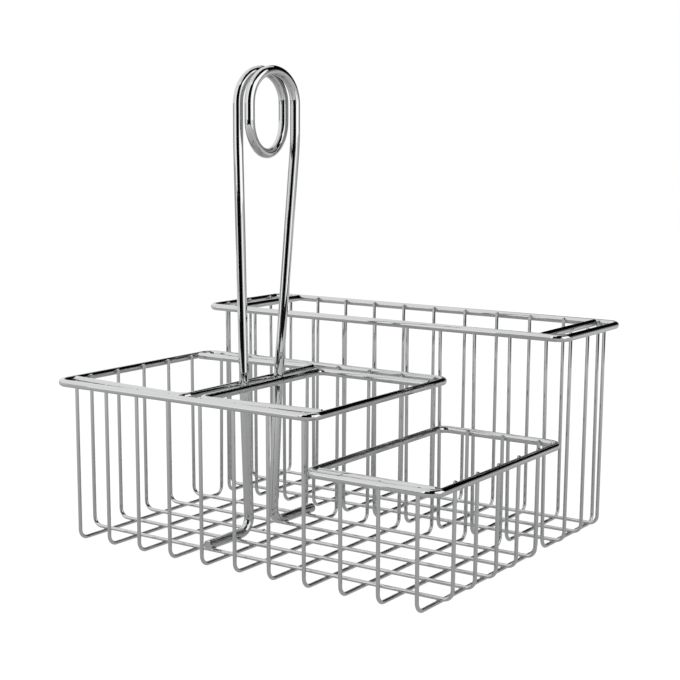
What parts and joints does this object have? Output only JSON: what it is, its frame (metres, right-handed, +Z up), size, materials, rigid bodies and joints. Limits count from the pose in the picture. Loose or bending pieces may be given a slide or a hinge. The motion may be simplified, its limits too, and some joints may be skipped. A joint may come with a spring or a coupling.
{
  "type": "wire condiment caddy",
  "caption": "Chrome wire countertop caddy with stepped open compartments, a taller rear basket and an upright wire handle coiled into a ring.",
  "frame": {"origin": "middle of the footprint, at the height of the table that the floor hoops stand on", "axes": "+X to the right along the front, +Y to the back, +Z up"},
  "size_m": [0.286, 0.2428, 0.3038],
  "materials": {
    "basket_wire": "bright chrome plate on drawn steel wire",
    "rim_wire": "bright chrome plate on drawn steel wire",
    "handle_wire": "bright chrome plate on drawn steel wire"
  },
  "bodies": {
    "root": {"front_hoop_00": "basket_wire", "front_hoop_01": "basket_wire", "front_hoop_02": "basket_wire", "front_hoop_03": "basket_wire", "front_hoop_04": "basket_wire", "front_hoop_05": "basket_wire", "front_hoop_06": "basket_wire", "front_hoop_07": "basket_wire", "front_hoop_08": "basket_wire", "front_hoop_09": "basket_wire", "front_hoop_10": "basket_wire", "front_runner_0": "basket_wire", "front_runner_1": "basket_wire", "front_runner_2": "basket_wire", "front_runner_3": "basket_wire", "front_runner_4": "basket_wire", "rear_hoop_00": "basket_wire", "rear_hoop_01": "basket_wire", "rear_hoop_02": "basket_wire", "rear_hoop_03": "basket_wire", "rear_hoop_04": "basket_wire", "rear_hoop_05": "basket_wire", "rear_hoop_06": "basket_wire", "rear_hoop_07": "basket_wire", "rear_hoop_08": "basket_wire", "rear_hoop_09": "basket_wire", "rear_hoop_10": "basket_wire", "rear_runner_0": "basket_wire", "rear_runner_1": "basket_wire", "rear_runner_2": "basket_wire", "mid_rim": "rim_wire", "low_rim": "rim_wire", "tall_rim": "rim_wire", "divider_frame_left": "rim_wire", "divider_frame_right": "rim_wire", "tall_end_rail_left": "rim_wire", "tall_end_rail_right": "rim_wire", "low_front_rail": "rim_wire", "handle": "handle_wire"}
  },
  "joints": []
}
